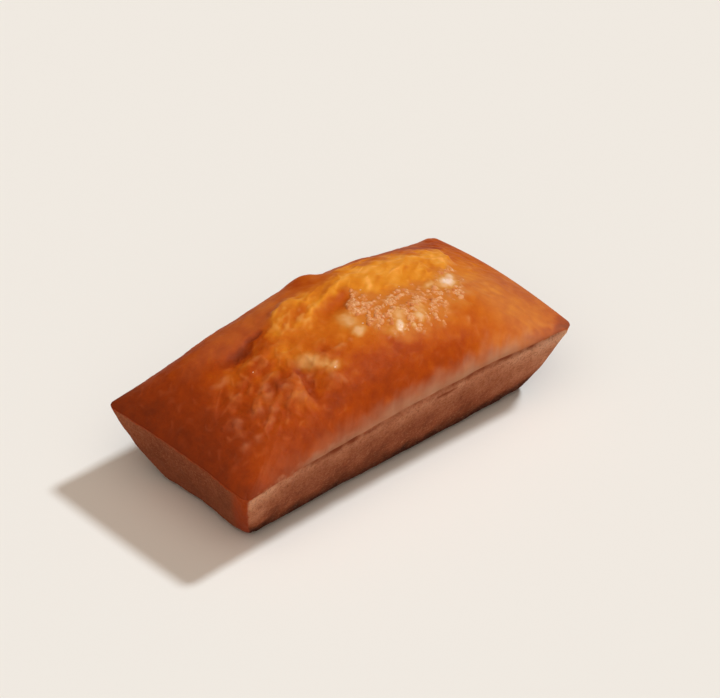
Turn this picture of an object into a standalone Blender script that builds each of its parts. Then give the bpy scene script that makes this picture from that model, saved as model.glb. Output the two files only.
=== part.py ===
"""Financier: a small almond cake baked in an oblong tin and turned out, built as one solid.

Frame: the origin is the middle of the flat base, +X runs along the loaf, +Y across it, +Z up.
The four walls lean out from the base to the rim, as the tin's did. Above the rim the top rises as a
plump pillow with steep shoulders, and the batter has burst through it on one side of the middle.
"""

import math

import bmesh
import bpy
from mathutils import Vector, noise

MM = 0.001

# Driving dimensions
LENGTH = 85.0 * MM  # rim, from corner to corner along X
WIDTH = 41.3 * MM  # rim, from corner to corner along Y
RIM_HEIGHT = 16.7 * MM  # rim at its corners, above the base: the depth of the tin
DOME_HEIGHT = 13.7 * MM  # middle of the top above the rim
LEFT_LEAN = 6.8 * MM  # how far the left end leans out from base to rim
RIGHT_LEAN = 4.8 * MM  # and the right end, which is steeper
SIDE_LEAN = 7.5 * MM  # and each long side

# Rim
CORNER_RADIUS = 1.7 * MM
RIM_RISE_LONG = 1.2 * MM  # the rim is higher in the middle of a long side than at its corners
RIM_RISE_LEFT, RIM_RISE_RIGHT = 0.7 * MM, 1.4 * MM  # and in the middle of an end
LONG_PINCH = 0.7 * MM  # a long side draws in towards its middle as the cake cools
END_BULGE_LEFT, END_BULGE_RIGHT = -0.25 * MM, 0.6 * MM  # how far an end stands out in its middle
CREASE_DEPTH = 0.35 * MM  # fold between the shoulder and the wall, where the tin's edge was

# Pillow: 1 - |position|**power, raised to a fullness; a fullness near 0.5 makes a steep shoulder
POWER_ALONG, FULLNESS_ALONG = 1.77, 0.94
POWER_ACROSS, FULLNESS_ACROSS = 2.6, 0.52

# Walls and base
WALL_BELLY = 0.8 * MM  # the walls belly out half way down
BASE_CORNER_RADIUS = 3.1 * MM
BASE_ROUND = 3.0 * MM  # height of the rounding into the base
BASE_ROUND_INSET = 1.5 * MM  # how far that rounding draws the base in

# Baked relief of the top: middle (x, y), reach along and across, turn in degrees, height
LUMPS = {
    "back knuckle": ((3.2, 16.2), (3.6, 3.0), 0, 1.2),
    "dip by the knuckle": ((7.6, 15.6), (2.2, 2.4), 0, -0.5),
    "back of the burst": ((18.2, 15.6), (2.4, 1.8), 0, 0.3),
    "back shoulder": ((-23.0, 14.0), (9.0, 4.0), 0, 0.5),
    "burst crest": ((15.0, 6.5), (17.0, 6.0), 4, 0.7),
    "burst left lip": ((-8.0, 7.0), (4.6, 2.8), 12, 0.6),
    "burst right lip": ((33.0, 9.0), (2.2, 4.5), -18, 0.5),
    "seam below the burst": ((1.0, 1.6), (4.6, 1.6), 10, -0.7),
    "sugar crust": ((13.0, -7.5), (11.0, 4.5), 4, 0.5),
    "left pit": ((-20.8, 5.6), (3.6, 2.4), 16, -1.1),
    "left pit lip": ((-22.0, 1.6), (4.0, 1.6), 8, 0.5),
    "front pit": ((-17.2, -10.0), (1.7, 3.8), -12, -0.9),
    "front knuckle": ((-21.5, -9.5), (2.8, 4.5), -10, 0.6),
    "second front knuckle": ((-12.8, -13.0), (2.6, 2.4), 0, 0.4),
    "left knuckle": ((-26.0, -4.5), (2.6, 5.0), -20, 0.4),
}
SWELL_SIZE = 11.0 * MM  # broad unevenness of the crust
SWELL_HEIGHT = 0.45 * MM
RELIEF_MARGIN = 0.16  # share of the half width over which relief fades out towards the rim

# Mesh
CELLS_ALONG, CELLS_ACROSS = 60, 28
EDGE_CROWDING = 0.55  # 0 spaces the rows evenly, 1 crowds them hard towards the rim
WALL_LEVELS = (0.025, 0.07, 0.22, 0.42, 0.62, 0.78, 0.89, 0.96, 1.0)  # share of the way from rim to base
CREASE_LEVEL = 0.025

CRUST_COLOUR = (0.43, 0.13, 0.028, 1.0)
CRUST_ROUGHNESS = 0.45


def crowd(share):
    """Moves a row at share (-1 to 1) towards the nearer rim, where the top turns most."""
    return (1 - EDGE_CROWDING) * share + EDGE_CROWDING * math.sin(share * math.pi / 2)


def rounded_oblong(s, t, half_length, half_width, radius):
    """Point of an oblong with rounded corners: s and t run from -1 to 1 across it."""
    x, y = abs(s) * half_length, abs(t) * half_width
    past_x, past_y = max(x - half_length + radius, 0), max(y - half_width + radius, 0)
    reach = math.hypot(past_x, past_y)
    if reach > 0:
        pull = max(past_x, past_y) / reach
        x = min(x, half_length - radius) + past_x * pull
        y = min(y, half_width - radius) + past_y * pull
    return math.copysign(x, s), math.copysign(y, t)


def lump(x, y, middle, reach, turn, height):
    """Height of one smooth swelling or hollow at (x, y)."""
    angle = math.radians(turn)
    dx, dy = x - middle[0] * MM, y - middle[1] * MM
    along = (dx * math.cos(angle) + dy * math.sin(angle)) / (reach[0] * MM)
    across = (dy * math.cos(angle) - dx * math.sin(angle)) / (reach[1] * MM)
    return height * MM * math.exp(-(along**2 + across**2))


def relief(x, y):
    """Baked unevenness of the top at (x, y)."""
    swell = SWELL_HEIGHT * noise.noise(Vector((x, y, 0)) / SWELL_SIZE)
    return swell + sum(lump(x, y, *shape) for shape in LUMPS.values())


def top_point(s, t):
    """Point of the top crust: s and t are -1 to 1 along X and Y, and the rim is where either is 1."""
    x, y = rounded_oblong(s, t, LENGTH / 2, WIDTH / 2, CORNER_RADIUS)
    x += math.copysign((END_BULGE_LEFT if s < 0 else END_BULGE_RIGHT) * (1 - t**2) * abs(s) ** 6, s)
    y -= math.copysign(LONG_PINCH * (1 - s**2) * abs(t) ** 4, t)
    rim = RIM_HEIGHT + RIM_RISE_LONG * (1 - s**2) * t**2
    rim += (RIM_RISE_LEFT if s < 0 else RIM_RISE_RIGHT) * (1 - t**2) * s**2
    fill_along = (1 - abs(s) ** POWER_ALONG) ** FULLNESS_ALONG
    fill_across = (1 - abs(t) ** POWER_ACROSS) ** FULLNESS_ACROSS
    fade = min((1 - abs(s)) / RELIEF_MARGIN, (1 - abs(t)) / RELIEF_MARGIN, 1)
    fade = fade * fade * (3 - 2 * fade)
    return Vector((x, y, rim + DOME_HEIGHT * fill_along * fill_across + fade * relief(x, y)))


def wall_point(s, t, level):
    """Point of the wall under the rim point (s, t): level is 0 at the rim and 1 on the base."""
    rim = top_point(s, t)
    foot_x, foot_y = rounded_oblong(s, t, LENGTH / 2 - LEFT_LEAN, WIDTH / 2 - SIDE_LEAN, BASE_CORNER_RADIUS)
    foot_x += (LEFT_LEAN - RIGHT_LEAN) * max(s, 0) ** 6
    point = rim.lerp(Vector((foot_x, foot_y, 0)), level)
    below = max(BASE_ROUND - point.z, 0) / BASE_ROUND
    inset = BASE_ROUND_INSET * (1 - math.sqrt(1 - below**2)) - WALL_BELLY * 4 * level * (1 - level)
    if level == CREASE_LEVEL:
        inset += CREASE_DEPTH * (1 - s**2)
    outward = Vector((math.copysign(abs(s) ** 8, s), math.copysign(abs(t) ** 8, t), 0))
    return point - outward * inset


def boundary_edges(mesh):
    return [edge for edge in mesh.edges if edge.is_boundary]


def cake_mesh():
    """A grid shaped into the top, its edge extruded down level by level as the walls, and the base filled."""
    mesh = bmesh.new()
    bmesh.ops.create_grid(mesh, x_segments=CELLS_ALONG, y_segments=CELLS_ACROSS, size=1)
    place = {vert: (crowd(vert.co.x), crowd(vert.co.y)) for vert in mesh.verts}
    for vert, (s, t) in place.items():
        vert.co = top_point(s, t)
    rim = {vert: place[vert] for vert in mesh.verts if vert.is_boundary}
    for level in WALL_LEVELS:
        edges = boundary_edges(mesh)
        above = {vert.co.copy().freeze(): spot for vert, spot in rim.items()}
        new = bmesh.ops.extrude_edge_only(mesh, edges=edges)["geom"]
        verts = [item for item in new if isinstance(item, bmesh.types.BMVert)]
        rim = {vert: above[vert.co.copy().freeze()] for vert in verts}
        for vert, (s, t) in rim.items():
            vert.co = wall_point(s, t, level)
    bmesh.ops.contextual_create(mesh, geom=boundary_edges(mesh))
    bmesh.ops.recalc_face_normals(mesh, faces=mesh.faces[:])
    return mesh


def crust_material():
    material = bpy.data.materials.new("baked crust")
    material.use_nodes = True
    shader = material.node_tree.nodes["Principled BSDF"]
    shader.inputs["Base Color"].default_value = CRUST_COLOUR
    shader.inputs["Roughness"].default_value = CRUST_ROUGHNESS
    shader.inputs["Metallic"].default_value = 0.0
    return material


def build():
    for item in list(bpy.data.objects):
        bpy.data.objects.remove(item, do_unlink=True)
    shape = bpy.data.meshes.new("financier_cake")
    mesh = cake_mesh()
    mesh.to_mesh(shape)
    mesh.free()
    shape.shade_smooth()
    shape.materials.append(crust_material())
    cake = bpy.data.objects.new("financier_cake", shape)
    bpy.context.scene.collection.objects.link(cake)
    return cake


build()
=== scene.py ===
# %% [markdown]
# # A financier, from tin to table
# A financier is a small almond cake. Its batter is poured into an oblong tin with sloping sides, it
# rises into a plump pillow above the rim, and where the middle is still wet the top tears open.
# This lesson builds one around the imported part, which fixes its size and its place: the origin is
# the middle of the base, +X runs along the loaf, +Y across it and +Z up. All lengths are in metres.

# %% Load the part
import math

import bpy
import numpy as np
from mathutils import Matrix, Vector, noise


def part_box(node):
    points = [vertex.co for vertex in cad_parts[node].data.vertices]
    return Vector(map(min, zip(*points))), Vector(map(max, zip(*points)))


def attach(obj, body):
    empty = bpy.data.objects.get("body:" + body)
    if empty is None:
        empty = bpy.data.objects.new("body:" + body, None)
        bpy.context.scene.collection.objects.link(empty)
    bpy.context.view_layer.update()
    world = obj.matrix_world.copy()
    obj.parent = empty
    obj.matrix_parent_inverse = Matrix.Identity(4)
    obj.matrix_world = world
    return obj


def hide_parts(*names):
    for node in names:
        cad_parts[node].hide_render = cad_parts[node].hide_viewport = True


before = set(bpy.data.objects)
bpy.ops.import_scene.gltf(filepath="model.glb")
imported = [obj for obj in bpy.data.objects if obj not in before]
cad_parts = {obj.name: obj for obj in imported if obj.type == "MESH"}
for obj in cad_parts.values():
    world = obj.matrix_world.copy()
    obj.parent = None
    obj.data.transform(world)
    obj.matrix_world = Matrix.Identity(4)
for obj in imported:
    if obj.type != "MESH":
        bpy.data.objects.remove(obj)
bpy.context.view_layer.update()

MM = 0.001
LOW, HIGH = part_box("financier_cake")
print("the part fills", [round(side / MM, 1) for side in HIGH - LOW], "mm")


# %% [markdown]
# ## Colours
# Colours are picked as sRGB hex values, the way a paint program shows them. Blender's shaders work
# with light, so one function turns each into the linear numbers that the sockets want.

# %% From hex to light
def light_of(hex_colour):
    """Linear red, green, blue and alpha of an sRGB hex colour such as "#c8641e"."""
    channels = [int(hex_colour[at : at + 2], 16) / 255 for at in (1, 3, 5)]
    linear = [c / 12.92 if c <= 0.04045 else ((c + 0.055) / 1.055) ** 2.4 for c in channels]
    return (*linear, 1.0)


print("a mid grey, #808080, reflects", round(light_of("#808080")[0], 3), "of the light")


# %% [markdown]
# ## Nodes
# Every material, and the studio's light too, is a small graph of nodes. One function adds a node of any
# kind, fills in its settings, sockets and ramp, and links it to earlier nodes, so that a graph reads from
# top to bottom like a recipe.

# %% Add a node
def add_node(owner, kind, settings=(), values=(), links=(), stops=()):
    """Adds a node. settings are its properties, values its sockets' numbers, links the sockets that
    feed it, and stops a colour ramp's places and hex colours, in rising order."""
    made = owner.node_tree.nodes.new(kind)
    for name, value in dict(settings).items():
        setattr(made, name, value)
    for name, value in dict(values).items():
        made.inputs[name].default_value = value
    for name, socket in dict(links).items():
        owner.node_tree.links.new(socket, made.inputs[name])
    for at, (place, hex_colour) in enumerate(stops):
        stop = made.color_ramp.elements[at] if at < 2 else made.color_ramp.elements.new(place)
        stop.position = place
        stop.color = light_of(hex_colour)
    return made


def new_material(name):
    """A new material and its Principled shader."""
    material = bpy.data.materials.new(name)
    material.use_nodes = True
    return material, material.node_tree.nodes["Principled BSDF"]


print("ready:", add_node.__name__, "and", new_material.__name__)


# %% [markdown]
# ## Camera
# The cake is seen from in front and from above, turned so that its long side runs away to the right.
# A long lens a metre away keeps the far end nearly as large as the near one, as in a packshot. The
# direction is worked out from two angles, and the aim is a little above and right of the rim's middle,
# which sets the cake low and left in the frame.

# %% Place the camera
RIM_HEIGHT = 16.7 * MM
TURN, LOOK_DOWN = math.radians(41.7), math.radians(36.4)
CAMERA_DISTANCE = 1.075
SHOWN_WIDTH = 141 * MM  # width of what the camera frames, at the cake
AIM_RIGHT, AIM_UP = 3.58 * MM, 3.17 * MM  # from the middle of the rim, in the frame

level = math.cos(LOOK_DOWN)
forward = Vector((math.sin(TURN) * level, math.cos(TURN) * level, -math.sin(LOOK_DOWN)))
rightward = Vector((math.cos(TURN), -math.sin(TURN), 0))
upward = rightward.cross(forward)
aim = Vector((0, 0, RIM_HEIGHT)) + rightward * AIM_RIGHT + upward * AIM_UP

bpy.ops.object.camera_add(location=aim - forward * CAMERA_DISTANCE)
camera = bpy.context.object
camera.name = "camera"
camera.rotation_euler = forward.to_track_quat("-Z", "Y").to_euler()
camera.data.lens = camera.data.sensor_width * CAMERA_DISTANCE / SHOWN_WIDTH
bpy.context.scene.camera = camera
print("lens", round(camera.data.lens), "mm")


# %% [markdown]
# ## Light
# A lamp stands high on the right, and its apparent size in the sky sets how soft the shadow's edge is.
# A broad warm softbox hangs over the camera: it fills the shadow on the left and the dark side of the
# walls. It is a bright spot in the world around the cake, so its glow falls off with the angle from its
# middle. A dot product of two directions is the cosine of the angle between them, and a power of it makes
# the spot as tight as wanted. The Standard view shows colours as they are, without the film-like
# desaturation of AgX, which would grey the crust.

# %% Hang the lamp
LAMP_HEIGHT_ANGLE = math.radians(53)
LAMP_SIDE_ANGLE = math.radians(-17)  # from +X, turned towards the camera
LAMP_SOFTNESS = math.radians(8)
LAMP_STRENGTH = 2.21
LAMP_COLOUR = (0.855, 0.98, 1.085)  # shares of red, green and blue light: a cool daylight lamp

across = math.cos(LAMP_HEIGHT_ANGLE)
lamp_x, lamp_y = across * math.cos(LAMP_SIDE_ANGLE), across * math.sin(LAMP_SIDE_ANGLE)
to_lamp = Vector((lamp_x, lamp_y, math.sin(LAMP_HEIGHT_ANGLE)))
bpy.ops.object.light_add(type="SUN", location=to_lamp)
lamp = bpy.context.object
lamp.name = "soft_lamp"
lamp.rotation_euler = to_lamp.to_track_quat("Z", "Y").to_euler()
lamp.data.angle = LAMP_SOFTNESS
lamp.data.energy = LAMP_STRENGTH
lamp.data.color = LAMP_COLOUR
print("the lamp shines from", [round(c, 2) for c in to_lamp])


# %% Light the studio
SOFTBOX_HEIGHT_ANGLE = math.radians(57)
SOFTBOX_STRENGTH, WALLS_STRENGTH = 2.22, 0.08  # at its middle, and far away from it
SOFTBOX_TIGHTNESS = 6  # the power of the cosine
STUDIO_COLOUR = (1.0, 0.88, 0.775, 1)  # a warm white

across = math.cos(SOFTBOX_HEIGHT_ANGLE)
softbox_x, softbox_y = -across * math.sin(TURN), -across * math.cos(TURN)
to_softbox = Vector((softbox_x, softbox_y, math.sin(SOFTBOX_HEIGHT_ANGLE)))
studio = bpy.data.worlds.new("softbox over the camera")
studio.use_nodes = True
direction = add_node(studio, "ShaderNodeTexCoord").outputs["Generated"]
cosine = add_node(
    studio, "ShaderNodeVectorMath", {"operation": "DOT_PRODUCT"}, {1: to_softbox}, {0: direction}
).outputs["Value"]
facing = add_node(studio, "ShaderNodeMath", {"operation": "MAXIMUM"}, {1: 0}, {0: cosine}).outputs[0]
spot = add_node(
    studio, "ShaderNodeMath", {"operation": "POWER"}, {1: SOFTBOX_TIGHTNESS}, {0: facing}
).outputs[0]
strengths = {"To Min": WALLS_STRENGTH, "To Max": SOFTBOX_STRENGTH}
glow = add_node(studio, "ShaderNodeMapRange", {}, strengths, {"Value": spot}).outputs["Result"]
background = studio.node_tree.nodes["Background"]
background.inputs["Color"].default_value = STUDIO_COLOUR
studio.node_tree.links.new(glow, background.inputs["Strength"])
bpy.context.scene.world = studio
bpy.context.scene.view_settings.view_transform = "Standard"
print("the softbox shines from", [round(c, 2) for c in to_softbox])


# %% [markdown]
# ## Floor
# A seamless sheet of warm white paper. Paper is matte, so it has no reflection to speak of. It isn't
# part of the cake.

# %% Lay the paper
SHEET_SIDE = 6  # metres, so that no other view sees its edge

bpy.ops.object.select_all(action="DESELECT")
bpy.ops.mesh.primitive_plane_add(size=SHEET_SIDE, location=(0, 0, 0))
floor = bpy.context.object
floor.name = "paper_floor"
paper, shader = new_material("matte studio paper")
shader.inputs["Base Color"].default_value = light_of("#efe8df")
shader.inputs["Roughness"].default_value = 1.0
shader.inputs["Specular IOR Level"].default_value = 0.0
floor.data.materials.append(paper)
print("the paper is", SHEET_SIDE, "m wide")


# %% [markdown]
# ## The block of batter
# By hand this starts as a fine grid at the rim, one quad for each quarter of a millimetre of crust. Its
# edge is extruded down and drawn in, which makes the tin's sloping walls in one move, the base is closed
# with one face, and the walls are cut into rows. The result is a plain flat-topped block with enough
# quads to sculpt in.

# %% Extrude the block
LENGTH, WIDTH = 85.0 * MM, 41.3 * MM
WALL_LEAN = 6.8 * MM  # of this plain block; each wall gets a lean of its own below
CELLS_ALONG, CELLS_ACROSS, WALL_ROWS = 350, 164, 32


def is_upright(edge):
    """Whether an edge of the block runs down a wall."""
    first, second = (block.vertices[end].co.z for end in edge.vertices)
    return abs(first - second) > MM


bpy.ops.object.select_all(action="DESELECT")
bpy.ops.mesh.primitive_grid_add(
    x_subdivisions=CELLS_ALONG, y_subdivisions=CELLS_ACROSS, size=1, location=(0, 0, RIM_HEIGHT)
)
cake = bpy.context.object
cake.name = "financier"
bpy.ops.transform.resize(value=(LENGTH, WIDTH, 1))
bpy.ops.object.transform_apply(location=True, rotation=True, scale=True)
bpy.ops.object.mode_set(mode="EDIT")
bpy.ops.mesh.select_mode(type="EDGE")
bpy.ops.mesh.select_all(action="DESELECT")
bpy.ops.mesh.select_non_manifold()
bpy.ops.mesh.extrude_region_move(TRANSFORM_OT_translate={"value": (0, 0, -RIM_HEIGHT)})
base_share = (1 - 2 * WALL_LEAN / LENGTH, 1 - 2 * WALL_LEAN / WIDTH, 1)
bpy.ops.transform.resize(value=base_share, center_override=(0, 0, 0))
bpy.ops.mesh.edge_face_add()
bpy.ops.mesh.select_all(action="DESELECT")
bpy.ops.object.mode_set(mode="OBJECT")
block = cake.data
block.edges.foreach_set("select", [is_upright(edge) for edge in block.edges])
bpy.ops.object.mode_set(mode="EDIT")
bpy.ops.mesh.subdivide_edgering(number_cuts=WALL_ROWS - 1, interpolation="LINEAR")
bpy.ops.object.mode_set(mode="OBJECT")
print(len(block.vertices), "vertices,", len(block.polygons), "faces")


# %% [markdown]
# Sculpting in code means computing where each vertex goes. So every vertex is given three plain numbers
# that stay true however the block is bent: S along the loaf and T across it, both from -1 at one wall to 1
# at the other, and LEVEL, 0 on the top and at the rim and 1 on the base.

# %% Measure the block
def column(name):
    """The co or the normal of the cake's vertices: a row for each, three numbers wide."""
    values = np.zeros(len(block.vertices) * 3, np.float32)
    block.vertices.foreach_get(name, values)
    return values.reshape(-1, 3).astype(np.float64)


raw = column("co")
LEVEL = np.clip(1 - raw[:, 2] / RIM_HEIGHT, 0, 1).round(5)
S = np.clip(raw[:, 0] / (LENGTH / 2 - WALL_LEAN * LEVEL), -1, 1)
T = np.clip(raw[:, 1] / (WIDTH / 2 - WALL_LEAN * LEVEL), -1, 1)
print(int((LEVEL > 0).sum()), "vertices are on the walls")


# %% [markdown]
# ## The tin's plan
# Baked batter keeps the tin's shape up to the rim: an oblong with small round corners, whose long sides
# draw in a little as it cools. Rows are crowded towards the rim, where the surface will turn most. Many
# changes belong to one edge only. A power of s or t is nearly 0 over most of the cake and rises to 1 at
# the edge, and the higher the power, the closer it keeps the change to it.

# %% Draw the plan
EDGE_CROWDING = 0.55
CORNER_RADIUS = 1.7 * MM
LONG_PINCH = 0.7 * MM
END_BULGE_LEFT, END_BULGE_RIGHT = -0.25 * MM, 0.6 * MM
RIGHT_TIP = 0.5 * MM  # how far the front right corner is drawn out


def rounded_oblong(s, t, half_length, half_width, radius):
    """Point of an oblong with rounded corners: s and t run from -1 to 1 across it."""
    x, y = np.abs(s) * half_length, np.abs(t) * half_width
    past_x, past_y = np.maximum(x - half_length + radius, 0), np.maximum(y - half_width + radius, 0)
    pull = np.maximum(past_x, past_y) / np.maximum(np.hypot(past_x, past_y), 1e-9)
    x = np.minimum(x, half_length - radius) + past_x * pull
    y = np.minimum(y, half_width - radius) + past_y * pull
    return np.sign(s) * x, np.sign(t) * y


def near(edge, power):
    """A power of s or t, or of -s or -t for the left end or the front, and 0 on the other half."""
    return np.clip(edge, 0, 1) ** power


s = (1 - EDGE_CROWDING) * S + EDGE_CROWDING * np.sin(S * math.pi / 2)
t = (1 - EDGE_CROWDING) * T + EDGE_CROWDING * np.sin(T * math.pi / 2)
x, y = rounded_oblong(s, t, LENGTH / 2, WIDTH / 2, CORNER_RADIUS)
x += (END_BULGE_RIGHT * near(s, 6) - END_BULGE_LEFT * near(-s, 6)) * (1 - t**2)
x += RIGHT_TIP * near(s, 8) * near(-t, 3)
y -= np.sign(t) * LONG_PINCH * (1 - s**2) * near(np.abs(t), 4)
print("the plan is", round(np.ptp(x) / MM, 1), "by", round(np.ptp(y) / MM, 1), "mm")


# %% [markdown]
# ## The pillow
# Above the rim the batter rises freely. One minus a power of s, itself raised to a power, gives a pillow:
# the higher the first power, the flatter its middle, and the lower the second, the steeper its shoulders.
# The rim itself isn't level either: it lifts where the cake rose most.

# %% Raise the pillow
RIM_RISE_LONG, RIM_RISE_LEFT, RIM_RISE_RIGHT = 1.2 * MM, 0.7 * MM, 1.4 * MM
FRONT_LIFT, FRONT_LIFT_AT, FRONT_LIFT_REACH = 0.4 * MM, 22 * MM, 7 * MM  # where the front rim bulges up
DOME_HEIGHT = 13.7 * MM
POWER_ALONG, FULLNESS_ALONG = 1.77, 0.94
POWER_ACROSS, FULLNESS_ACROSS = 2.6, 0.52

rim = RIM_HEIGHT + RIM_RISE_LONG * (1 - s**2) * t**2
rim += np.where(s < 0, RIM_RISE_LEFT, RIM_RISE_RIGHT) * (1 - t**2) * s**2
rim += FRONT_LIFT * np.exp(-(((x - FRONT_LIFT_AT) / FRONT_LIFT_REACH) ** 2)) * near(-t, 4)
rise = DOME_HEIGHT * (1 - np.abs(s) ** POWER_ALONG) ** FULLNESS_ALONG
rise *= (1 - np.abs(t) ** POWER_ACROSS) ** FULLNESS_ACROSS
print("the dome stands", round((rim + rise).max() / MM, 1), "mm above the table")


# %% [markdown]
# ## Lumps and hollows
# No two cakes rise alike. The largest swellings and hollows are placed one by one, by the spot on the
# top where they sit, how far they reach and how high they stand, all in millimetres. They fade out
# towards the rim, where the tin held the batter. Gentle noise adds the swells in between.

# %% Name the lumps
LUMPS = {  # middle (x, y), reach along and across, turn in degrees, height
    "back knuckle": ((3.2, 16.2), (3.6, 3.0), 0, 1.2),
    "dip by the knuckle": ((7.6, 15.6), (2.2, 2.4), 0, -0.5),
    "back of the burst": ((18.2, 15.6), (2.4, 1.8), 0, 0.3),
    "back shoulder": ((-23.0, 14.0), (9.0, 4.0), 0, 0.5),
    "burst crest": ((15.0, 6.5), (17.0, 6.0), 4, 0.7),
    "burst left lip": ((-8.0, 7.0), (4.6, 2.8), 12, 0.6),
    "burst right lip": ((33.0, 9.0), (2.2, 4.5), -18, 0.5),
    "seam below the burst": ((1.0, 1.6), (4.6, 1.6), 10, -0.7),
    "sugar crust": ((13.0, -7.5), (11.0, 4.5), 4, 0.5),
    "left pit": ((-20.8, 5.6), (3.8, 2.6), 16, -0.95),
    "left pit lip": ((-22.0, 1.6), (4.0, 1.6), 8, 0.5),
    "front pit": ((-17.2, -10.0), (1.8, 3.6), -12, -0.75),
    "front knuckle": ((-21.5, -9.5), (2.8, 4.5), -10, 0.6),
    "second front knuckle": ((-12.8, -13.0), (2.6, 2.4), 0, 0.4),
    "left knuckle": ((-26.0, -4.5), (2.6, 5.0), -20, 0.4),
}
print(len(LUMPS), "lumps and hollows")


# %% Raise the lumps
SWELL_SIZE, SWELL_HEIGHT = 11.0 * MM, 0.45
LUMP_MARGIN = 0.16  # share of the way in from an edge over which the lumps grow to full height


def smooth(share):
    """0 below 0, 1 above 1 and an easy slope between."""
    share = np.clip(share, 0, 1)
    return share * share * (3 - 2 * share)


def reach_of(x, y, middle, reach, turn):
    """Distance of each (x, y) from the middle of a turned oval: 1 is on the oval."""
    angle = math.radians(turn)
    dx, dy = x - middle[0], y - middle[1]
    along = (dx * math.cos(angle) + dy * math.sin(angle)) / reach[0]
    across = (dy * math.cos(angle) - dx * math.sin(angle)) / reach[1]
    return np.hypot(along, across)


fade = smooth(np.minimum((1 - np.abs(s)) / LUMP_MARGIN, (1 - np.abs(t)) / LUMP_MARGIN))
relief = SWELL_HEIGHT * np.array([noise.noise(Vector((a, b, 0)) / SWELL_SIZE) for a, b in zip(x, y)])
for middle, reach, turn, height in LUMPS.values():
    relief += height * np.exp(-reach_of(x / MM, y / MM, middle, reach, turn) ** 2)
z = rim + rise + fade * relief * MM
print("lumps reach from", round(relief.min(), 1), "to", round(relief.max(), 1), "mm")


# %% [markdown]
# ## Walls
# The base is a smaller oblong with rounder corners. Below the rim every row slides from the rim's plan
# towards it, which gives the walls' slope: the long sides lean in most and the right end is the steepest.
# The rows are packed close under the rim, where a thin fold runs along the front.

# %% Lean the walls
END_LEAN, SIDE_LEAN = 6.8 * MM, 8.0 * MM  # how far the foot stands in from the rim
RIGHT_FOOT_OUT = 2.0 * MM  # the right end leans less by this
FOOT_OF_LEFT_END = (  # place across as t, mm outward
    (-1, 0.4), (-0.7, 0.2), (-0.3, -0.2), (0.1, -0.45), (0.6, -0.2), (1, 0.3),
)
FOOT_OF_FRONT = (  # place along as s, mm outward
    (-1, 0.8), (-0.9, 0.3), (-0.6, 0.4), (-0.3, 0.3), (0.1, 0.65), (0.4, 0.8), (0.8, 0.7), (1, 0.5),
)
BASE_CORNER_RADIUS = 3.6 * MM
ROW_CROWDING = 0.55

down = LEVEL - ROW_CROWDING * np.sin(2 * math.pi * LEVEL) / (2 * math.pi)
depth = down * RIM_HEIGHT / MM  # millimetres under the rim
base_x, base_y = rounded_oblong(s, t, LENGTH / 2 - END_LEAN, WIDTH / 2 - SIDE_LEAN, BASE_CORNER_RADIUS)
base_x += RIGHT_FOOT_OUT * near(s, 6)
base_x -= np.interp(t, *zip(*FOOT_OF_LEFT_END)) * MM * near(-s, 6)
base_y -= np.interp(s, *zip(*FOOT_OF_FRONT)) * MM * near(-t, 4)
x, y, z = x + (base_x - x) * down, y + (base_y - y) * down, z * (1 - down)
print("the walls are", round(depth.max(), 1), "mm high")


# %% [markdown]
# Steam pushes the walls out half way down, least at the right end, and the foot is rounded as the tin's
# bottom edge was. Both are one inset, negative where the wall bellies out. Then the block takes its shape.

# %% Round the foot
WALL_BELLY, RIGHT_END_FLATNESS = 0.8 * MM, 0.4  # the right end bellies out less by this share
BASE_ROUND, BASE_ROUND_INSET = 3.0 * MM, 1.5 * MM

below = np.clip(BASE_ROUND - z, 0, BASE_ROUND) / BASE_ROUND
belly = WALL_BELLY * (1 - RIGHT_END_FLATNESS * near(s, 8))
inset = BASE_ROUND_INSET * (1 - np.sqrt(1 - below**2)) - belly * 4 * down * (1 - down)
inset = np.where(LEVEL > 0, inset, 0)
x -= np.sign(s) * near(np.abs(s), 8) * inset
y -= np.sign(t) * near(np.abs(t), 8) * inset
block.vertices.foreach_set("co", np.stack([x, y, z], -1).ravel().astype(np.float32))
block.update()
block.shade_smooth()
print("the block is now", [round(side / MM, 1) for side in np.ptp(column("co"), axis=0)], "mm")


# %% [markdown]
# ## Noise in millimetres
# Everything finer is noise of a stated size, cut to the places where it belongs. Two kinds are enough:
# soft noise for waves and wrinkles, which becomes streaks when it is drawn out one way, and cells for
# grains and pores. Both are read in space, not on the flat plan, so that nothing smears on the steep
# shoulders. Each use has a number of its own, the seed, which moves it to a fresh part of the noise.

# %% Noise helpers
SEED_STEP = 17.3  # between the places where two seeds read the noise, in sizes
WAVE_GAIN = 1.6  # brings soft noise, which seldom passes 0.6, up to about 1
DOME_GAIN = 1.4  # does the same for the middle of a cell
NUMBER_SPREAD = 9.7  # keeps the numbers of neighbouring cells apart

X, Y, Z = (column("co") / MM).T
RISE = rise / MM
ON_TOP = LEVEL == 0
PLACES = np.stack([X, Y, Z], -1)


def turned(turn, sizes, seed):
    """Every vertex's place, turned about Z and divided by the three sizes."""
    angle = math.radians(turn)
    along, across = X * math.cos(angle) + Y * math.sin(angle), Y * math.cos(angle) - X * math.sin(angle)
    return np.stack([along / sizes[0], across / sizes[1], Z / sizes[2]], -1) + SEED_STEP * seed


def waves(size, seed, long=1.0, turn=0.0):
    """Soft noise of about -1 to 1, its waves of a size in millimetres and drawn out long times one way."""
    spots = turned(turn, (size * long, size, size), seed)
    return WAVE_GAIN * np.array([noise.noise(Vector(spot)) for spot in spots])


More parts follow.
